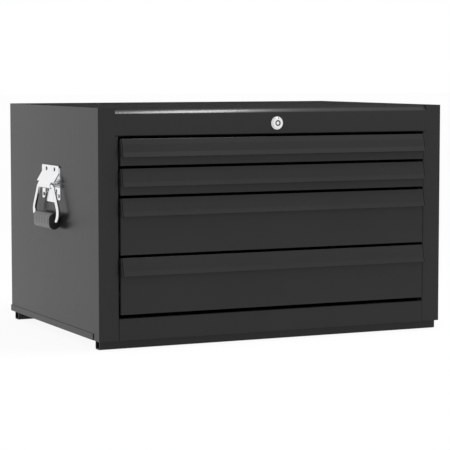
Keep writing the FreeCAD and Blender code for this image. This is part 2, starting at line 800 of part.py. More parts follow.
def handle_bracket():
    """Bracket: a flange on the wall, a slope out over the bail, and a barrel rolled round it."""
    inner_x = -half_width - back_plate_sheet
    outer_x = inner_x - bracket_plate_sheet
    pivot_x = -half_width - bail_standoff
    bend_z = handle_z + bracket_bend_height
    run_x = outer_x - pivot_x
    run_z = bracket_bend_height
    reach = math.hypot(run_x, run_z)
    slope = math.atan2(run_x, run_z) + math.asin(barrel_radius / reach)
    tangent_x = pivot_x - barrel_radius * math.cos(slope)
    tangent_z = handle_z + barrel_radius * math.sin(slope)
    section = [(outer_x, handle_z + bracket_plate_top), (outer_x, bend_z),
               (tangent_x, tangent_z)]
    half = bracket_plate_width / 2
    low_y = handle_y - half
    high_y = handle_y + half
    sheet = folded(section, 1, bracket_plate_sheet, bracket_plate_sheet, "y", low_y, high_y)
    barrel_y = barrel_length / 2
    for near, far in ((low_y, handle_y - barrel_y), (handle_y + barrel_y, high_y)):
        sheet = sheet.cut(box(tangent_x - overrun, inner_x + overrun, near, far,
                              handle_z - ear_drop, handle_z + ear_drop))
    profile = plate([(low_y, handle_z), (high_y, handle_z),
                     (high_y, handle_z + bracket_plate_top),
                     (low_y, handle_z + bracket_plate_top)],
                    [0, 0, bracket_plate_corner, bracket_plate_corner], "x",
                    tangent_x - overrun, inner_x + overrun)
    sheet = sheet.common(profile)
    barrel = bar_between(FreeCAD.Vector(pivot_x, handle_y - barrel_y, handle_z),
                         FreeCAD.Vector(pivot_x, handle_y + barrel_y, handle_z), barrel_radius)
    bore = bar_between(FreeCAD.Vector(pivot_x, low_y, handle_z),
                       FreeCAD.Vector(pivot_x, high_y, handle_z), bail_rod_radius + bail_fit)
    bracket = joined([sheet, barrel]).cut(bore)
    ear_edges = [e for e in bracket.Edges
                 if e.BoundBox.YLength < ear_corner and e.Length < 2 * bracket_plate_sheet
                 and min(abs(e.BoundBox.YMin - low_y), abs(e.BoundBox.YMax - high_y)) < bail_fit
                 and e.BoundBox.ZMax < handle_z + 2 * ear_drop]
    bracket = bracket.makeFillet(ear_corner, ear_edges)
    return with_rivet_holes(bracket, handle_rivet_holes()[:2])


def handle_rivets():
    """Two rivets through bracket, back plate and wall, and two through a foot each."""
    rivets = []
    for index, (y, z) in enumerate(handle_rivet_holes()):
        plates = back_plate_sheet + (bracket_plate_sheet if index < 2 else 0)
        rivets.append(rivet(FreeCAD.Vector(-half_width - plates, y, z),
                            FreeCAD.Vector(-wall_x, y, z), handle_rivet_radius,
                            handle_rivet_head_radius, handle_rivet_head))
    return rivets


def bail_slope_and_drop():
    """Angle at which the bail's arms spread, and how far its lower run, which the grip
    holds, lies under the pivot."""
    slope = math.atan2(bail_knee_half - bail_top_half, bail_knee_drop)
    curve_drop = bail_foot_radius * (1 + math.sin(slope))
    return slope, bail_knee_drop + curve_drop


def handle_bail():
    """Round rod bent to a loop: it turns in the barrel and both ends meet in the grip."""
    slope, grip_drop = bail_slope_and_drop()
    x = -half_width - bail_standoff

    def place(u, v):
        return FreeCAD.Vector(x, handle_y + u, handle_z + v)

    centre_u = bail_knee_half - bail_foot_radius * math.cos(slope)
    centre_v = -bail_knee_drop - bail_foot_radius * math.sin(slope)
    middle_turn = (slope - math.pi / 2) / 2
    edges = []
    tail_start = (centre_u, -grip_drop)
    knee = (bail_knee_half, -bail_knee_drop)
    bulge = (centre_u + bail_foot_radius * math.cos(middle_turn),
             centre_v + bail_foot_radius * math.sin(middle_turn))
    half_corner = (math.pi / 2 + slope) / 2
    setback = bail_shoulder / math.tan(half_corner)
    shoulder_in = (bail_top_half - setback, 0)
    shoulder_out = (bail_top_half + setback * math.sin(slope), -setback * math.cos(slope))
    inner_turn = math.pi / 2 - (math.pi / 2 - slope) / 2
    shoulder_mid = (shoulder_in[0] + bail_shoulder * math.cos(inner_turn),
                    -bail_shoulder + bail_shoulder * math.sin(inner_turn))
    for hand in (1, -1):
        side = [Part.makeLine(place(hand * bail_end_gap / 2, -grip_drop),
                              place(hand * tail_start[0], tail_start[1])),
                Part.Arc(place(hand * tail_start[0], tail_start[1]),
                         place(hand * bulge[0], bulge[1]),
                         place(hand * knee[0], knee[1])).toShape(),
                Part.makeLine(place(hand * knee[0], knee[1]),
                              place(hand * shoulder_out[0], shoulder_out[1])),
                Part.Arc(place(hand * shoulder_out[0], shoulder_out[1]),
                         place(hand * shoulder_mid[0], shoulder_mid[1]),
                         place(hand * shoulder_in[0], 0)).toShape()]
        edges += side
    edges.append(Part.makeLine(place(-shoulder_in[0], 0), place(shoulder_in[0], 0)))
    path = Part.Wire(Part.__sortEdges__(edges))
    start = path.OrderedVertexes[0].Point
    profile = Part.Wire(Part.makeCircle(bail_rod_radius, start, FreeCAD.Vector(0, 1, 0)))
    return path.makePipeShell([profile], True, False)


def handle_grip():
    """Moulded grip on the bail, oval in section, with rounded ends."""
    grip_drop = bail_slope_and_drop()[1]
    x = -half_width - bail_standoff
    z = handle_z - grip_drop
    u = grip_thickness / 2
    v = grip_height / 2
    outline = [(x - u, z - v), (x + u, z - v), (x + u, z + v), (x - u, z + v)]
    body = plate(outline, [u] * 4, "y", handle_y - grip_half_length, handle_y + grip_half_length)
    ends = [e for e in body.Edges if e.BoundBox.YLength < grip_round]
    body = body.makeFillet(grip_round, ends)
    return body.cut(bar_between(FreeCAD.Vector(x, handle_y - 2 * grip_half_length, z),
                                FreeCAD.Vector(x, handle_y + 2 * grip_half_length, z),
                                bail_rod_radius))


# Write every node

os.makedirs("parts", exist_ok=True)

left_side = side_panel()
save("left_side_panel", left_side)
save("right_side_panel", mirrored(left_side))
save("top_panel", top_panel())
save("header_rail", header_rail())
save("bottom_rail", bottom_rail())
save("back_panel", back_panel())
save("bottom_panel", bottom_panel())
save("front_skid", skid(skid_rows()[0]))
save("rear_skid", skid(skid_rows()[1]))
save("skid_rivets", *skid_rivets())

uprights = left_uprights()
save("left_rail_uprights", *uprights)
save("right_rail_uprights", *[mirrored(post) for post in uprights])

for number, (bottom, top) in enumerate(drawer_levels(), start=1):
    name = "drawer_" + str(number)
    save(name + "_front", drawer_front(bottom, top))
    save(name + "_pull", drawer_pull(top))
    save(name + "_pan", drawer_pan(bottom, top))
    save(name + "_mat", drawer_mat(bottom))
    for kind, rail in zip(("_case_rails", "_middle_rails", "_drawer_rails"), rail_set(bottom)):
        save(name + kind, rail, mirrored(rail))

save("lock_body", lock_body())
save("lock_plug", lock_plug())
save("lock_nut", lock_nut())
save("lock_rod", lock_rod())
save("lock_crank", lock_crank())
save("lock_bar", lock_bar())
save("lock_bar_guides", *lock_bar_guides())
save("lock_rod_bracket", lock_rod_bracket())

for name, solids in (("back_plate", [handle_back_plate()]), ("bracket", [handle_bracket()]),
                     ("rivets", handle_rivets()), ("bail", [handle_bail()]),
                     ("grip", [handle_grip()])):
    save("left_handle_" + name, *solids)
    save("right_handle_" + name, *[mirrored(solid) for solid in solids])
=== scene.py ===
import json
import math

import bmesh
import bpy
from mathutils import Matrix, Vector

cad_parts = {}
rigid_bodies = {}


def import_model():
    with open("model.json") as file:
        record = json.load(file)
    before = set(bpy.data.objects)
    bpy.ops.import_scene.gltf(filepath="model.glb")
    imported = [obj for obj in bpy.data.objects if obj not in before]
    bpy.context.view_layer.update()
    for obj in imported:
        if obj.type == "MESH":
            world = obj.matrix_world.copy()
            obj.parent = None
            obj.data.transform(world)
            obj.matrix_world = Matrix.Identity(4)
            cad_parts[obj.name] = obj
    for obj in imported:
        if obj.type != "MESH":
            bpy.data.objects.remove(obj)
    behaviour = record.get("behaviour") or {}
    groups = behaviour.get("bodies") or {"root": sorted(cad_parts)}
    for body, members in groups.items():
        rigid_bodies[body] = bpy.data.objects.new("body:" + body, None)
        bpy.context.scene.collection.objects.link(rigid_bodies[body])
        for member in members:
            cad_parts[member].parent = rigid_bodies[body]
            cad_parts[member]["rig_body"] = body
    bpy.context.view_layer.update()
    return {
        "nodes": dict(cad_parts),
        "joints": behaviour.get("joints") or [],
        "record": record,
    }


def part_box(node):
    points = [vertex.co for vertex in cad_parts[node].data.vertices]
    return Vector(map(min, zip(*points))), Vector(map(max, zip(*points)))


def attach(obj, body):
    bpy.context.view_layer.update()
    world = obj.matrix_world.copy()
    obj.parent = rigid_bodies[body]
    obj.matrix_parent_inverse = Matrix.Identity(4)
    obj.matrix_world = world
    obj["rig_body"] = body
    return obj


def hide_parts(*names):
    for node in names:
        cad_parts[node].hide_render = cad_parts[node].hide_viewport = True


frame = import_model()


# Viewpoint. An eye in front, to the left and a little above the roof, found from the
# chest's corners and straight edges in the photograph.

photo_width_pixels = 450
focal_pixels = 1853.0
eye_place = (-1.4933, -3.2101, 0.4884)
eye_tilt = math.radians(85.185)
eye_heading = math.radians(-25.026)

lens = bpy.data.cameras.new("eye")
lens.lens = lens.sensor_width * focal_pixels / photo_width_pixels
eye = bpy.data.objects.new("eye", lens)
eye.location = eye_place
eye.rotation_euler = (eye_tilt, 0, eye_heading)
bpy.context.scene.collection.objects.link(eye)
bpy.context.scene.camera = eye


# Side panels. Each is one folded steel sheet, which makes the wall, the front stile
# and a flange at the back. It is sprayed with charcoal powder and baked.

paint_colour = (0.0160, 0.0163, 0.0167, 1)
paint_light_colour = (0.0220, 0.0224, 0.0228, 1)
paint_gloss = 0.185
paint_grain_scale = 1300
paint_ripple_scale = 330
paint_cloud_scale = 7
paint_cloud_detail = 3.0
paint_cloud_share = 0.6
paint_smoothest = 0.185
paint_grain_roughness = 0.10
paint_cloud_roughness = 0.06
paint_bump = 0.00006
paint_grain_height = 0.5
sheet_edge = 0.00025
weld_distance = 0.000002
flat_angle = math.radians(0.4)
sharp_angle = math.radians(32)


class Wire:
    """An output of a node. Sums and products of wires add the Math nodes for them."""

    def __init__(self, tree, socket):
        self.tree = tree
        self.socket = socket

    def node(self, kind, settings, sockets, output=0):
        """Adds a node beside this wire's, sets it, feeds it and gives one output."""
        made = self.tree.nodes.new(kind)
        for name, value in settings.items():
            setattr(made, name, value)
        for name, value in sockets.items():
            if isinstance(value, Wire):
                self.tree.links.new(value.socket, made.inputs[name])
            else:
                made.inputs[name].default_value = value
        return Wire(self.tree, made.outputs[output])

    def maths(self, operation, first, second=0.0):
        return self.node("ShaderNodeMath", {"operation": operation}, {0: first, 1: second})

    def __add__(self, other):
        return self.maths("ADD", self, other)

    def __sub__(self, other):
        return self.maths("SUBTRACT", self, other)

    def __rsub__(self, other):
        return self.maths("SUBTRACT", other, self)

    def __mul__(self, other):
        return self.maths("MULTIPLY", self, other)

    def noise(self, scale, detail=2.0):
        """Smooth random values over the places that this wire gives."""
        return self.node("ShaderNodeTexNoise", {}, {"Vector": self, "Scale": scale,
                                                    "Detail": detail}, "Fac")

    def blend(self, low, high):
        """A colour between two others, by this wire's value."""
        return self.node("ShaderNodeMix", {"data_type": "RGBA"},
                         {"Factor": self, 6: low, 7: high}, 2)

    def bump(self, depth, strength=1.0):
        """Normals of a surface that rises by this wire's value times a depth."""
        return self.node("ShaderNodeBump", {}, {"Height": self, "Distance": depth,
                                                "Strength": strength}, "Normal")

    def into(self, shader, name):
        self.tree.links.new(self.socket, shader.inputs[name])


def new_finish(name, **fixed):
    """A material, its shader with what is the same all over, and a wire of places."""
    finish = bpy.data.materials.new(name)
    finish.use_nodes = True
    shader = finish.node_tree.nodes["Principled BSDF"]
    for label, value in fixed.items():
        shader.inputs[label.replace("_", " ")].default_value = value
    places = finish.node_tree.nodes.new("ShaderNodeTexCoord").outputs["Object"]
    return finish, shader, Wire(finish.node_tree, places)


def powder_coat(name):
    """Charcoal powder coat: a fine grain on a slow ripple, a little cloudy."""
    finish, shader, place = new_finish(name, Specular_IOR_Level=paint_gloss)
    grain = place.noise(paint_grain_scale)
    ripple = place.noise(paint_ripple_scale)
    cloud = place.noise(paint_cloud_scale, paint_cloud_detail)
    shade = grain * (1 - paint_cloud_share) + cloud * paint_cloud_share
    shade.blend(paint_colour, paint_light_colour).into(shader, "Base Color")
    rough = grain * paint_grain_roughness + cloud * paint_cloud_roughness
    (rough + paint_smoothest).into(shader, "Roughness")
    (grain * paint_grain_height + ripple).bump(paint_bump).into(shader, "Normal")
    return finish


slot_of = {row["node"]: row["material_slot"] for row in frame["record"]["subparts"]}
case_paint = powder_coat("case_paint")


def keep(name, mesh, node, finish=None):
    """Puts a finished mesh in the scene in place of a node, on that node's body."""
    piece = bpy.data.objects.new(name, mesh)
    bpy.context.scene.collection.objects.link(piece)
    if finish:
        mesh.materials.clear()
        mesh.materials.append(finish)
    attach(piece, frame["nodes"][node]["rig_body"])
    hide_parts(node)
    return piece


def ease_edges(piece, width, segments=2):
    """Rounds a piece's edges as paint or plating does, and shades its curves smooth."""
    piece.data.shade_smooth()
    round_over = piece.modifiers.new("eased_edges", "BEVEL")
    round_over.width = width
    round_over.segments = segments
    round_over.limit_method = "ANGLE"
    round_over.angle_limit = sharp_angle
    level = piece.modifiers.new("level_faces", "WEIGHTED_NORMAL")
    level.keep_sharp = True


def dressed(node, finish, width=sheet_edge):
    """A closed, smooth skin of a solid, with its edges eased."""
    skin = bmesh.new()
    skin.from_mesh(frame["nodes"][node].data)
    bmesh.ops.remove_doubles(skin, verts=skin.verts, dist=weld_distance)
    bmesh.ops.dissolve_limit(skin, angle_limit=flat_angle, verts=skin.verts, edges=skin.edges)
    mesh = bpy.data.meshes.new(node + "_skin")
    skin.to_mesh(mesh)
    skin.free()
    ease_edges(keep(node + "_skin", mesh, node, finish), width)


for side in ("left", "right"):
    dressed(side + "_side_panel", case_paint)


# Roof. A flat sheet whose front edge is rolled down to the header between two square
# corner posts. Welded to the sides and the back, and painted with them.

roll_rows = 28
roof_low, roof_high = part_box("top_panel")
header_low, header_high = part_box("header_rail")
roof_sheet = 0.0012
roll_depth = 0.021
post_x = header_high.x
roof_z = roof_high.z
roll_rise = roof_z - header_high.z
roll_radius = (roll_depth ** 2 + roll_rise ** 2) / (2 * roll_rise)

roof = bmesh.new()
roll_end_y = header_low.y + roll_depth
roll_turn = math.asin(roll_depth / roll_radius)
columns = (-post_x, post_x)
rows = []
for i in range(roll_rows + 1):
    turn = roll_turn * i / roll_rows
    y = roll_end_y - roll_radius * math.sin(turn)
    z = roof_z - roll_radius * (1 - math.cos(turn))
    rows.append([roof.verts.new((x, y, z)) for x in columns])
for upper, lower in zip(rows, rows[1:]):
    roof.faces.new((upper[0], lower[0], lower[1], upper[1]))
back_corners = [roof.verts.new((x, roof_high.y, roof_z)) for x in (roof_low.x, roof_high.x)]
wing_corners = [roof.verts.new((x, roll_end_y, roof_z)) for x in (roof_low.x, roof_high.x)]
roof.faces.new((wing_corners[0], rows[0][0], rows[0][1], wing_corners[1],
                back_corners[1], back_corners[0]))
for outer, inner, x_low, x_high in ((wing_corners[0], rows[0][0], roof_low.x, -post_x),
                                    (wing_corners[1], rows[0][1], roof_high.x, post_x)):
    front = [roof.verts.new((x, header_low.y + roof_sheet, roof_z)) for x in (x_low, x_high)]
    wing = (outer, front[0], front[1], inner)
    roof.faces.new(wing if x_low < 0 else tuple(reversed(wing)))
bmesh.ops.recalc_face_normals(roof, faces=roof.faces)
if roof.faces[-1].normal.z < 0:
    bmesh.ops.reverse_faces(roof, faces=roof.faces)
roof_mesh = bpy.data.meshes.new("roof")
roof.to_mesh(roof_mesh)
roof.free()
roof_piece = keep("roof", roof_mesh, "top_panel", case_paint)
gauge = roof_piece.modifiers.new("gauge", "SOLIDIFY")
gauge.thickness = roof_sheet
gauge.offset = -1
gauge.use_even_offset = True
ease_edges(roof_piece, sheet_edge)


# Header, bottom rail, back, floor and skids. Folded strips and sheets, spot-welded to
# the sides before painting. The skids are channels under the floor, riveted to it.

for node in ("header_rail", "bottom_rail", "back_panel", "bottom_panel",
             "front_skid", "rear_skid"):
    dressed(node, case_paint)


# Uprights and telescoping rails. Zinc-plated steel, roll-formed, with long faint draw
# marks. The uprights are welded in and painted with the case. The skids' rivets and the
# hidden steel behind the lock are plated as well.

zinc_colour = (0.50, 0.51, 0.52, 1)
zinc_light_colour = (0.66, 0.67, 0.68, 1)
zinc_spangle_scale = 160
zinc_streak_scale = (900, 12, 900)
zinc_streak_share = 0.5
zinc_smoothest = 0.19
zinc_streak_roughness = 0.22
zinc_spangle_roughness = 0.12
zinc_bump = 0.00002

zinc_steel, shader, place = new_finish("zinc_steel", Metallic=1.0)
spangle = place.noise(zinc_spangle_scale)
streaks = place.node("ShaderNodeMapping", {}, {"Vector": place, "Scale": zinc_streak_scale})
streaks = streaks.noise(1.0)
shade = spangle * (1 - zinc_streak_share) + streaks * zinc_streak_share
shade.blend(zinc_colour, zinc_light_colour).into(shader, "Base Color")
rough = streaks * zinc_streak_roughness + spangle * zinc_spangle_roughness
(rough + zinc_smoothest).into(shader, "Roughness")
streaks.bump(zinc_bump).into(shader, "Normal")

shown_finish = {"zinc_steel": zinc_steel, "case_paint": case_paint}
for node, piece in frame["nodes"].items():
    if slot_of[node] in shown_finish:
        piece.data.materials.clear()
        piece.data.materials.append(shown_finish[slot_of[node]])


# Drawer fronts and pans. Folded sheet, painted like the case. Each front has rounded
# edges and is turned back all round; the pan behind it is folded from thinner sheet.

drawer_count = 4
drawer_paint = powder_coat("drawer_paint")
for number in range(1, drawer_count + 1):
    for kind in ("_front", "_pan"):
        dressed("drawer_" + str(number) + kind, drawer_paint)


# Pulls. A strip as wide as the drawer, folded to a brow, a band and a lip that fingers
# hook behind. A separate cheek closes each end, with a narrow dark seam beside it.

pull_sheet = 0.0012
pull_flange = 0.009
pull_bend = 0.0005
brow_height = 0.0095
brow_reach = 0.0045
band_height = 0.0135
band_reach = 0.0066
lip_reach = 0.0105
cheek_sheet = 0.0018
cheek_seam = 0.0011
face_gap = 0.0004
cheek_edge = 0.0005
bend_steps = 6
seal_distance = 0.00001


def new_tree(name, inputs):
    """A Geometry Nodes tree with named inputs: the tree, and a wire for each input."""
    tree = bpy.data.node_groups.new(name, "GeometryNodeTree")
    tree.interface.new_socket("Geometry", in_out="INPUT", socket_type="NodeSocketGeometry")
    for label, kind in inputs.items():
        tree.interface.new_socket(label, in_out="INPUT", socket_type="NodeSocket" + kind)
    tree.interface.new_socket("Geometry", in_out="OUTPUT", socket_type="NodeSocketGeometry")
    entry = tree.nodes.new("NodeGroupInput")
    return tree, {socket.name: Wire(tree, socket) for socket in entry.outputs if socket.name}


def end_tree(shape, finish):
    """Ends a tree: instances become real and get their material."""
    real = shape.node("GeometryNodeRealizeInstances", {}, {"Geometry": shape})
    made = real.node("GeometryNodeSetMaterial", {}, {"Geometry": real, "Material": finish})
    way_out = shape.tree.nodes.new("NodeGroupOutput")
    made.tree.links.new(made.socket, way_out.inputs["Geometry"])


def grown(tree, name, points, edges, values, numbers=None):
    """The plain mesh that a tree makes from points and edges with these inputs."""
    seed_mesh = bpy.data.meshes.new(name + "_seed")
    seed_mesh.from_pydata(points, edges, [])
    for label, row in (numbers or {}).items():
        seed_mesh.attributes.new(label, "FLOAT", "POINT").data.foreach_set("value", row)
    seed = bpy.data.objects.new(name + "_seed", seed_mesh)
    bpy.context.scene.collection.objects.link(seed)
    maker = seed.modifiers.new("maker", "NODES")
    maker.node_group = tree
    for item in tree.interface.items_tree:
        if item.in_out == "INPUT" and item.name in values:
            maker[item.identifier] = values[item.name]
    view = bpy.context.evaluated_depsgraph_get()
    mesh = bpy.data.meshes.new_from_object(seed.evaluated_get(view))
    seed.modifiers.remove(maker)
    bpy.data.objects.remove(seed)
    mesh.name = name
    return mesh


fold_tree, fold = new_tree("folded_strip", {"Width": "Float", "Bend": "Float",
                                            "Sheet": "Float", "Material": "Material"})
line = fold["Geometry"].node("GeometryNodeMeshToCurve", {}, {"Mesh": fold["Geometry"]})
line = line.node("GeometryNodeFilletCurve", {"mode": "POLY"}, {
    "Curve": line, "Radius": fold["Bend"], "Count": bend_steps})
line = line.node("GeometryNodeCurveToMesh", {}, {"Curve": line})
across = fold["Width"].node("ShaderNodeCombineXYZ", {}, {"X": fold["Width"]})
strip = line.node("GeometryNodeExtrudeMesh", {"mode": "EDGES"},
                  {"Mesh": line, "Offset": across, "Offset Scale": 1.0})
skin = strip.node("GeometryNodeExtrudeMesh", {"mode": "FACES"},
                  {"Mesh": strip, "Offset Scale": fold["Sheet"], "Individual": False})
inside = strip.node("GeometryNodeFlipFaces", {}, {"Mesh": strip})
both = strip.node("GeometryNodeJoinGeometry", {}, {"Geometry": skin})
strip.tree.links.new(inside.socket, both.socket.node.inputs["Geometry"])
closed = both.node("GeometryNodeMergeByDistance", {}, {"Geometry": both,
                                                       "Distance": seal_distance})
end_tree(closed, fold["Material"])

for number in range(1, drawer_count + 1):
    node = "drawer_" + str(number) + "_pull"
    low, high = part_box(node)
    face_y = low.y + lip_reach
    brow_z = high.z - brow_height
    band_z = brow_z - band_height
    outline = [(face_y + pull_flange, high.z), (face_y - pull_sheet, high.z),
               (face_y - brow_reach, brow_z), (face_y - band_reach, band_z),
               (low.y, low.z)]
    inset = cheek_sheet + cheek_seam
    start_x = low.x + inset
    points = [(start_x, y, z) for y, z in outline]
    edges = [(i, i + 1) for i in range(len(points) - 1)]
    mesh = grown(fold_tree, node + "_strip", points, edges,
                 {"Width": high.x - low.x - 2 * inset, "Bend": pull_bend,
                  "Sheet": pull_sheet, "Material": drawer_paint})
    ease_edges(keep(node + "_strip", mesh, node), sheet_edge)
    cheeks = bmesh.new()
    for x in (low.x, high.x - cheek_sheet):
        side_outline = outline[1:] + [(face_y - face_gap, low.z), (face_y - face_gap, high.z)]
        left = [cheeks.verts.new((x, y, z)) for y, z in side_outline]
        right = [cheeks.verts.new((x + cheek_sheet, y, z)) for y, z in side_outline]
        cheeks.faces.new(left)
        cheeks.faces.new(list(reversed(right)))
        for i in range(len(left)):
            cheeks.faces.new((left[i - 1], right[i - 1], right[i], left[i]))
    bmesh.ops.recalc_face_normals(cheeks, faces=cheeks.faces)
    cheek_mesh = bpy.data.meshes.new(node + "_cheeks")
    cheeks.to_mesh(cheek_mesh)
    cheeks.free()
    ease_edges(keep(node + "_cheeks", cheek_mesh, node, drawer_paint), cheek_edge)


# Mats. Dark grey felt, cut to the floor of each pan and laid in loose.

felt_colour = (0.050, 0.050, 0.052, 1)
felt_light_colour = (0.105, 0.105, 0.108, 1)
felt_fibre_scale = 2600
felt_fibre_detail = 4.0
felt_fibre_stretch = (1, 0.3, 1)
felt_fibre_share = 0.6
felt_fibre_height = 0.5
felt_tuft_scale = 260
felt_tuft_detail = 3.0
felt_smoothest = 0.88
felt_tuft_roughness = 0.1
felt_bump = 0.0003
felt_bump_strength = 0.7
felt_gloss = 0.1
felt_sheen = 0.3
felt_sheen_roughness = 0.5
felt_edge = 0.0005

mat_felt, shader, place = new_finish("mat_felt", Sheen_Weight=felt_sheen,
                                     Sheen_Roughness=felt_sheen_roughness,
                                     Specular_IOR_Level=felt_gloss)
fibres = place.node("ShaderNodeMapping", {}, {"Vector": place, "Scale": felt_fibre_stretch})
fibres = fibres.noise(felt_fibre_scale, felt_fibre_detail)
tufts = place.noise(felt_tuft_scale, felt_tuft_detail)
shade = fibres * felt_fibre_share + tufts * (1 - felt_fibre_share)
shade.blend(felt_colour, felt_light_colour).into(shader, "Base Color")
(tufts * felt_tuft_roughness + felt_smoothest).into(shader, "Roughness")
pile = fibres * felt_fibre_height + tufts
pile.bump(felt_bump, felt_bump_strength).into(shader, "Normal")
for number in range(1, drawer_count + 1):
    dressed("drawer_" + str(number) + "_mat", mat_felt, felt_edge)


# Lock. A chromed round face and barrel, with a plug that turns in it. The plug's post
# stands in a ring-shaped keyway, and the face is notched at the top for the key's lug.
# The bottoms of both are painted dark as shade, and made rougher.

chrome_colour = (0.80, 0.81, 0.82, 1)
chrome_haze_scale = 500
chrome_haze_detail = 4.0
chrome_haze_roughness = 0.06
lock_smoothest = 0.07
lock_bump = 0.00002
lock_well_shade_colour = (0.055, 0.055, 0.058, 1)
lock_well_roughness = 0.25
lock_well_start = 0.0004
lock_well_fade = 0.0012
lock_head_radius = 0.0099
lock_edge = 0.0002

lock_low, lock_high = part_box("lock_body")
lock_z = (lock_low.z + lock_high.z) / 2
lock_chrome, shader, place = new_finish("lock_chrome", Metallic=1.0)
depth = place.node("ShaderNodeSeparateXYZ", {}, {"Vector": place}, "Y")
depth = (depth - lock_low.y - lock_well_start) * (1 / lock_well_fade)
radius = place.node("ShaderNodeVectorMath", {"operation": "MULTIPLY"},
                    {0: place, 1: (1, 0, 1)})
radius = radius.node("ShaderNodeVectorMath", {"operation": "DISTANCE"},
                     {0: radius, 1: (0, 0, lock_z)}, "Value")
# Painted shade: the colour turns dark deeper in the keyway and notch, inside the head.
well = depth.maths("MAXIMUM", depth, 0.0)
well = well.maths("MINIMUM", well, 1.0) * radius.maths("LESS_THAN", radius, lock_head_radius)
haze = place.noise(chrome_haze_scale, chrome_haze_detail)
well.blend(chrome_colour, lock_well_shade_colour).into(shader, "Base Color")
rough = haze * chrome_haze_roughness + well * lock_well_roughness
(rough + lock_smoothest).into(shader, "Roughness")
haze.bump(lock_bump).into(shader, "Normal")
for node in ("lock_body", "lock_plug"):
    dressed(node, lock_chrome, lock_edge)


# Lock bar guides. Two blocks of natural nylon on the back panel, in which the bar
# slides up and down.

nylon_colour = (0.66, 0.64, 0.58, 1)
nylon_light_colour = (0.78, 0.76, 0.70, 1)
nylon_cloud_scale = 60
nylon_grain_scale = 900
nylon_smoothest = 0.42
nylon_grain_roughness = 0.12
nylon_bump = 0.00005
nylon_milkiness = 0.05

guide_nylon, shader, place = new_finish("guide_nylon", Subsurface_Weight=nylon_milkiness)
cloud = place.noise(nylon_cloud_scale)
cloud.blend(nylon_colour, nylon_light_colour).into(shader, "Base Color")
grain = place.noise(nylon_grain_scale)
(grain * nylon_grain_roughness + nylon_smoothest).into(shader, "Roughness")
grain.bump(nylon_bump).into(shader, "Normal")
dressed("lock_bar_guides", guide_nylon)


# Side handles: back plate and bracket. Pressed steel, chromed. The bracket is riveted
# through the plate, slopes out over the bail, and is rolled into a barrel round it.

chrome_light_colour = (0.90, 0.905, 0.91, 1)
chrome_wave_scale = 70
chrome_smoothest = 0.05
chrome_bump = 0.0002
chrome_haze_height = 0.05
plate_edge = 0.0004

chrome, shader, place = new_finish("chrome", Metallic=1.0)
wave = place.noise(chrome_wave_scale)
haze = place.noise(chrome_haze_scale, chrome_haze_detail)
wave.blend(chrome_colour, chrome_light_colour).into(shader, "Base Color")
(haze * chrome_haze_roughness + chrome_smoothest).into(shader, "Roughness")
(wave + haze * chrome_haze_height).bump(chrome_bump).into(shader, "Normal")
for side in ("left", "right"):
    dressed(side + "_handle_back_plate", chrome, plate_edge)
    dressed(side + "_handle_bracket", chrome, plate_edge)


# Handle rivets. Chromed steel, four to a handle, with domed heads outside and inside
# the wall: two through bracket and plate, and one through each foot of the plate. The
# rim of each head is duller, and painted dark as shade.

rivet_head_radius = 0.0036
rivet_head_height = 0.0018
rivet_head_segments = 32
rivet_head_rings = 16
rivet_shank_radius = 0.002
rivet_shank_sides = 24
rivet_spacing = 0.0425
rivet_rise = 0.030
foot_rivet_spacing = 0.080
foot_rivet_drop = 0.018
plate_sheet = 0.0012
bracket_sheet = 0.0016
wall_sheet = 0.0012
rivet_rim_shade_colour = (0.035, 0.035, 0.037, 1)
rivet_rim_start = 0.96
rivet_rim_end = 0.84
rivet_rim_roughness = 0.25
rivet_smoothest = 0.07

rivet_chrome, shader, place = new_finish("rivet_chrome", Metallic=1.0)
facing = place.node("ShaderNodeNewGeometry", {}, {}, "Normal")
facing = facing.node("ShaderNodeSeparateXYZ", {}, {"Vector": facing}, "X")
facing = facing.maths("ABSOLUTE", facing, 0.0)
# Painted shade: each head turns dark where its normal leans away from its axis, towards the
# rim.
rim = (facing - rivet_rim_start) * (-1 / (rivet_rim_start - rivet_rim_end))
rim = rim.maths("MAXIMUM", rim, 0.0)
rim = rim.maths("MINIMUM", rim, 1.0)
haze = place.noise(chrome_haze_scale, chrome_haze_detail)
rim.blend(chrome_colour, rivet_rim_shade_colour).into(shader, "Base Color")
rough = haze * chrome_haze_roughness + rim * rivet_rim_roughness
(rough + rivet_smoothest).into(shader, "Roughness")

rivet_tree, rivet = new_tree("rivets", {"Head Radius": "Float", "Head Height": "Float",
                                        "Shank Radius": "Float", "Grip": "Float",
                                        "Axis": "Vector", "Material": "Material"})
head_size = rivet["Grip"].node("ShaderNodeCombineXYZ", {}, {
    "X": rivet["Head Radius"], "Y": rivet["Head Radius"], "Z": rivet["Head Height"]})
ball = rivet["Grip"].node("GeometryNodeMeshUVSphere", {}, {
    "Segments": rivet_head_segments, "Rings": rivet_head_rings, "Radius": 1.0})
outer_head = ball.node("GeometryNodeTransform", {}, {"Geometry": ball, "Scale": head_size})
inward = rivet["Grip"].node("ShaderNodeCombineXYZ", {}, {"Z": 0.0 - rivet["Grip"]})
inner_head = ball.node("GeometryNodeTransform", {}, {"Geometry": ball, "Scale": head_size,
                                                    "Translation": inward})
shank = ball.node("GeometryNodeMeshCylinder", {}, {
    "Vertices": rivet_shank_sides, "Radius": rivet["Shank Radius"], "Depth": rivet["Grip"]})
half_inward = rivet["Grip"].node("ShaderNodeCombineXYZ", {}, {"Z": rivet["Grip"] * -0.5})
shank = shank.node("GeometryNodeTransform", {}, {"Geometry": shank,
                                                 "Translation": half_inward})
whole = outer_head.node("GeometryNodeJoinGeometry", {}, {"Geometry": outer_head})
for more in (inner_head, shank):
    whole.tree.links.new(more.socket, whole.socket.node.inputs["Geometry"])
outward = whole.node("FunctionNodeAlignRotationToVector", {"axis": "Z"},
                     {"Vector": rivet["Axis"]})
placed = whole.node("GeometryNodeInstanceOnPoints", {}, {
    "Points": rivet["Geometry"], "Instance": whole, "Rotation": outward})
smooth = placed.node("GeometryNodeRealizeInstances", {}, {"Geometry": placed})
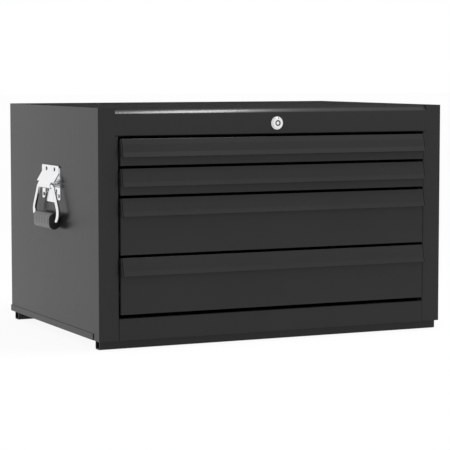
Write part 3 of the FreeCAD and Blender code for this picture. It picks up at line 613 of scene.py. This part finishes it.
smooth = smooth.node("GeometryNodeSetShadeSmooth", {}, {"Geometry": smooth})
end_tree(smooth, rivet["Material"])

joint_of = {joint["name"]: joint for joint in frame["joints"]}
for side, hand in (("left", -1), ("right", 1)):
    pivot = Vector(joint_of[side + "_handle_swing"]["pos_m"])
    wall_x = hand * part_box("right_side_panel")[1].x
    for row, spacing, rise, plates in (
            ("upper", rivet_spacing, rivet_rise, plate_sheet + bracket_sheet),
            ("lower", foot_rivet_spacing, -foot_rivet_drop, plate_sheet)):
        points = [(wall_x + hand * plates, pivot.y + reach * spacing / 2, pivot.z + rise)
                  for reach in (-1, 1)]
        name = side + "_handle_rivets_" + row
        mesh = grown(rivet_tree, name, points, [],
                     {"Head Radius": rivet_head_radius, "Head Height": rivet_head_height,
                      "Shank Radius": rivet_shank_radius, "Grip": plates + wall_sheet,
                      "Axis": (hand, 0, 0), "Material": rivet_chrome})
        keep(name, mesh, side + "_handle_rivets")


# Bails. One chromed rod each, bent at two shoulders and two feet. It turns in the
# bracket's barrel, and its ends meet inside the grip.

rod_radius = 0.0035
rod_sides = 40
bail_top_half = 0.038
bail_knee_half = 0.061
bail_knee_drop = 0.0377
shoulder_radius = 0.007
foot_radius = 0.017
bail_end_gap = 0.002
bail_steps = 14

rod_tree, rod = new_tree("rod_on_path", {"Radius": "Float", "Material": "Material"})
bend = rod["Radius"].node("GeometryNodeInputNamedAttribute", {"data_type": "FLOAT"},
                          {"Name": "bend"})
path = rod["Geometry"].node("GeometryNodeMeshToCurve", {}, {"Mesh": rod["Geometry"]})
path = path.node("GeometryNodeFilletCurve", {"mode": "POLY"}, {
    "Curve": path, "Radius": bend, "Count": bail_steps})
ring = path.node("GeometryNodeCurvePrimitiveCircle", {}, {"Resolution": rod_sides,
                                                          "Radius": rod["Radius"]})
tube = path.node("GeometryNodeCurveToMesh", {}, {"Curve": path, "Profile Curve": ring,
                                                 "Fill Caps": True})
end_tree(tube, rod["Material"])

lean = math.atan2(bail_knee_half - bail_top_half, bail_knee_drop)
bail_drop = bail_knee_drop + foot_radius * (1 + math.sin(lean))
foot_half = bail_top_half + bail_drop * math.tan(lean)
right_corners = [(bail_end_gap / 2, -bail_drop, 0.0), (foot_half, -bail_drop, foot_radius),
                 (bail_top_half, 0.0, shoulder_radius)]
corners = right_corners + [(-u, v, r) for u, v, r in reversed(right_corners)]
for side in ("left", "right"):
    pivot = Vector(joint_of[side + "_handle_swing"]["pos_m"])
    points = [(pivot.x, pivot.y + u, pivot.z + v) for u, v, r in corners]
    name = side + "_bail_rod"
    mesh = grown(rod_tree, name, points, [(i, i + 1) for i in range(len(points) - 1)],
                 {"Radius": rod_radius, "Material": chrome},
                 {"bend": [r for u, v, r in corners]})
    keep(name, mesh, side + "_handle_bail")
    mesh.set_sharp_from_angle(angle=sharp_angle)


# Grips. Black moulded plastic round the lower run of each bail: oval, with soft ridges
# along it, faint waists round it, and a flat, dull face at each end.

grip_colour = (0.012, 0.012, 0.013, 1)
grip_light_colour = (0.026, 0.026, 0.027, 1)
grip_grain_scale = 1500
grip_gloss = 0.08
grip_coat_roughness = 0.34
grip_smoothest = 0.38
grip_grain_roughness = 0.12
grip_bump = 0.00005
grip_end_depth = 0.004
ridge_count = 10
ridge_depth = 0.0004
ridge_sharpness = 2
waist_pitch = 0.015
waist_depth = 0.0003
steps_per_ridge = 8
grip_rows = 48
grip_end_round = 0.0028
grip_sharp_angle = math.radians(50)

grip_low, grip_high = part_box("left_handle_grip")
grip_black, shader, place = new_finish("grip_black", Specular_IOR_Level=grip_gloss,
                                       Coat_Roughness=grip_coat_roughness)
grain = place.noise(grip_grain_scale)
along = place.node("ShaderNodeSeparateXYZ", {}, {"Vector": place}, "Y")
from_middle = along.maths("ABSOLUTE", along - (grip_low.y + grip_high.y) / 2)
shiny_half = (grip_high.y - grip_low.y) / 2 - grip_end_depth
from_middle.maths("LESS_THAN", from_middle, shiny_half).into(shader, "Coat Weight")
grain.blend(grip_colour, grip_light_colour).into(shader, "Base Color")
(grain * grip_grain_roughness + grip_smoothest).into(shader, "Roughness")
grain.bump(grip_bump).into(shader, "Normal")


def swell(turn):
    """Rises from 0 to 1 and back over one full turn."""
    return 0.5 - 0.5 * math.cos(turn)


def grip_section(thickness, height, shrink):
    """One ring of a grip's skin: an oval with ridges, drawn in by shrink at its ends."""
    ring = []
    for i in range(ridge_count * steps_per_ridge):
        turn = 2 * math.pi * i / (ridge_count * steps_per_ridge)
        groove = ridge_depth * swell(ridge_count * turn) ** ridge_sharpness
        radius = thickness / 2 - groove - shrink
        straight = math.copysign((height - thickness) / 2, math.sin(turn))
        ring.append((radius * math.cos(turn), radius * math.sin(turn) + straight))
    return ring


for side in ("left", "right"):
    node = side + "_handle_grip"
    low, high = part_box(node)
    middle = (low + high) / 2
    thickness = high.x - low.x
    height = high.z - low.z
    body = bmesh.new()
    rings = []
    for i in range(grip_rows + 1):
        y = low.y + (high.y - low.y) * swell(math.pi * i / grip_rows)
        near_end = max(0.0, grip_end_round - min(y - low.y, high.y - y))
        shrink = grip_end_round - math.sqrt(grip_end_round ** 2 - near_end ** 2)
        if not near_end:
            shrink = waist_depth * swell(2 * math.pi * (y - low.y) / waist_pitch)
        rings.append([body.verts.new((middle.x + u, y, middle.z + v))
                      for u, v in grip_section(thickness, height, shrink)])
    for first, second in zip(rings, rings[1:]):
        for a, b, c, d in zip(first, first[1:] + first[:1], second[1:] + second[:1], second):
            body.faces.new((a, b, c, d))
    body.faces.new(rings[0])
    body.faces.new(rings[-1])
    bmesh.ops.recalc_face_normals(body, faces=body.faces)
    mesh = bpy.data.meshes.new(side + "_grip")
    body.to_mesh(mesh)
    body.free()
    mesh.shade_smooth()
    mesh.set_sharp_from_angle(angle=grip_sharp_angle)
    keep(side + "_grip", mesh, node, grip_black)


# Floor and light. A white floor under an even white sky, with a soft box over the front
# edge. A dark flag behind the chest, seen only in mirrors, is what the roof reflects.

floor_half = 30
floor_colour = (0.86, 0.86, 0.86, 1)
floor_roughness = 0.9
floor_glow = 0.92
flag_colour = (0.035, 0.035, 0.035, 1)
flag_corners = ((-0.33, 2.0), (3.2, 1.2))
flag_foot = 0.01
flag_height = 5.0
sky_fill = 0.9
white = (1, 1, 1, 1)
crown_lamp_place = (0.26, -0.33, 1.4)
crown_lamp_target = (-0.20, -0.23, 0.41)
crown_lamp_width = 0.5
crown_lamp_depth = 0.2
crown_lamp_power = 13.5

floor_mesh = bpy.data.meshes.new("floor")
floor_mesh.from_pydata([(-floor_half, -floor_half, 0), (floor_half, -floor_half, 0),
                        (floor_half, floor_half, 0), (-floor_half, floor_half, 0)],
                       [], [(0, 1, 2, 3)])
floor = bpy.data.objects.new("floor", floor_mesh)
bpy.context.scene.collection.objects.link(floor)
floor_finish, shader, place = new_finish("floor", Roughness=floor_roughness,
                                         Base_Color=floor_colour)
glow = place.node("ShaderNodeEmission", {}, {"Color": white, "Strength": 1.0})
seen = place.node("ShaderNodeLightPath", {}, {}, "Is Camera Ray")
mirrored = place.node("ShaderNodeLightPath", {}, {}, "Is Glossy Ray")
mixed = place.node("ShaderNodeMixShader", {}, {
    "Fac": seen.maths("MAXIMUM", seen, mirrored) * floor_glow,
    1: Wire(place.tree, shader.outputs["BSDF"]), 2: glow})
mixed.into(place.tree.nodes["Material Output"], "Surface")
floor_mesh.materials.append(floor_finish)

flag_mesh = bpy.data.meshes.new("flag")
flag_mesh.from_pydata([(x, y, z) for x, y in flag_corners for z in (flag_foot, flag_height)],
                      [], [(0, 2, 3, 1)])
flag = bpy.data.objects.new("flag", flag_mesh)
bpy.context.scene.collection.objects.link(flag)
flag_finish, shader, place = new_finish("flag", Roughness=1.0, Specular_IOR_Level=0.0,
                                        Base_Color=flag_colour)
flag_mesh.materials.append(flag_finish)
flag.visible_camera = False
flag.visible_diffuse = False
flag.visible_shadow = False

sky = bpy.data.worlds.new("sky")
bpy.context.scene.world = sky
sky.use_nodes = True
sky_tree = sky.node_tree
sky_glow = sky_tree.nodes["Background"]
ray = sky_tree.nodes.new("ShaderNodeLightPath")
seen = Wire(sky_tree, ray.outputs["Is Camera Ray"])
seen = seen.maths("MAXIMUM", seen, Wire(sky_tree, ray.outputs["Is Glossy Ray"]))
seen = seen.maths("MAXIMUM", seen, Wire(sky_tree, ray.outputs["Is Transmission Ray"]))
(seen * (1 - sky_fill) + sky_fill).into(sky_glow, "Strength")
sky_glow.inputs["Color"].default_value = white

light = bpy.data.lights.new("crown_box", "AREA")
light.shape = "RECTANGLE"
light.size = crown_lamp_width
light.size_y = crown_lamp_depth
light.energy = crown_lamp_power
lamp = bpy.data.objects.new("crown_box", light)
lamp.location = crown_lamp_place
aim = Vector(crown_lamp_target) - Vector(crown_lamp_place)
lamp.rotation_euler = aim.to_track_quat("-Z", "Y").to_euler()
lamp.visible_camera = False
bpy.context.scene.collection.objects.link(lamp)

bpy.context.scene.view_settings.view_transform = "Standard"
